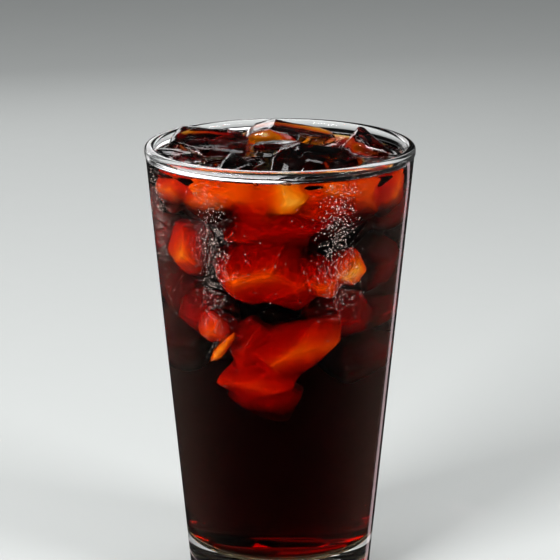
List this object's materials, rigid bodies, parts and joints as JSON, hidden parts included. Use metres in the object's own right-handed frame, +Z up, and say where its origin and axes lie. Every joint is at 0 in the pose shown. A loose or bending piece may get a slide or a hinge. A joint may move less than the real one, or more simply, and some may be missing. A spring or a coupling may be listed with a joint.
{
  "type": "iced cold brew coffee in a pint glass",
  "caption": "Tapered clear pint glass with a thick base and rounded lip, filled to just under the lip with dark iced coffee, with lumps of ice standing out of the surface.",
  "frame": {"origin": "centre of the glass's standing ring, on the surface that the glass stands on", "axes": "+Z up along the glass's axis, +X to the right and -Y towards the viewer as the drink is seen from the front"},
  "size_m": [0.0892, 0.0892, 0.1512],
  "materials": {
    "glass": "polished clear glass",
    "coffee": "glossy liquid surface",
    "ice": "wet clear ice"
  },
  "bodies": {
    "root": {"glass": "glass", "coffee": "coffee", "ice_back_left": "ice", "ice_back": "ice", "ice_centre": "ice", "ice_front_right": "ice", "ice_back_right": "ice", "ice_left": "ice", "ice_front_left": "ice"}
  },
  "joints": []
}
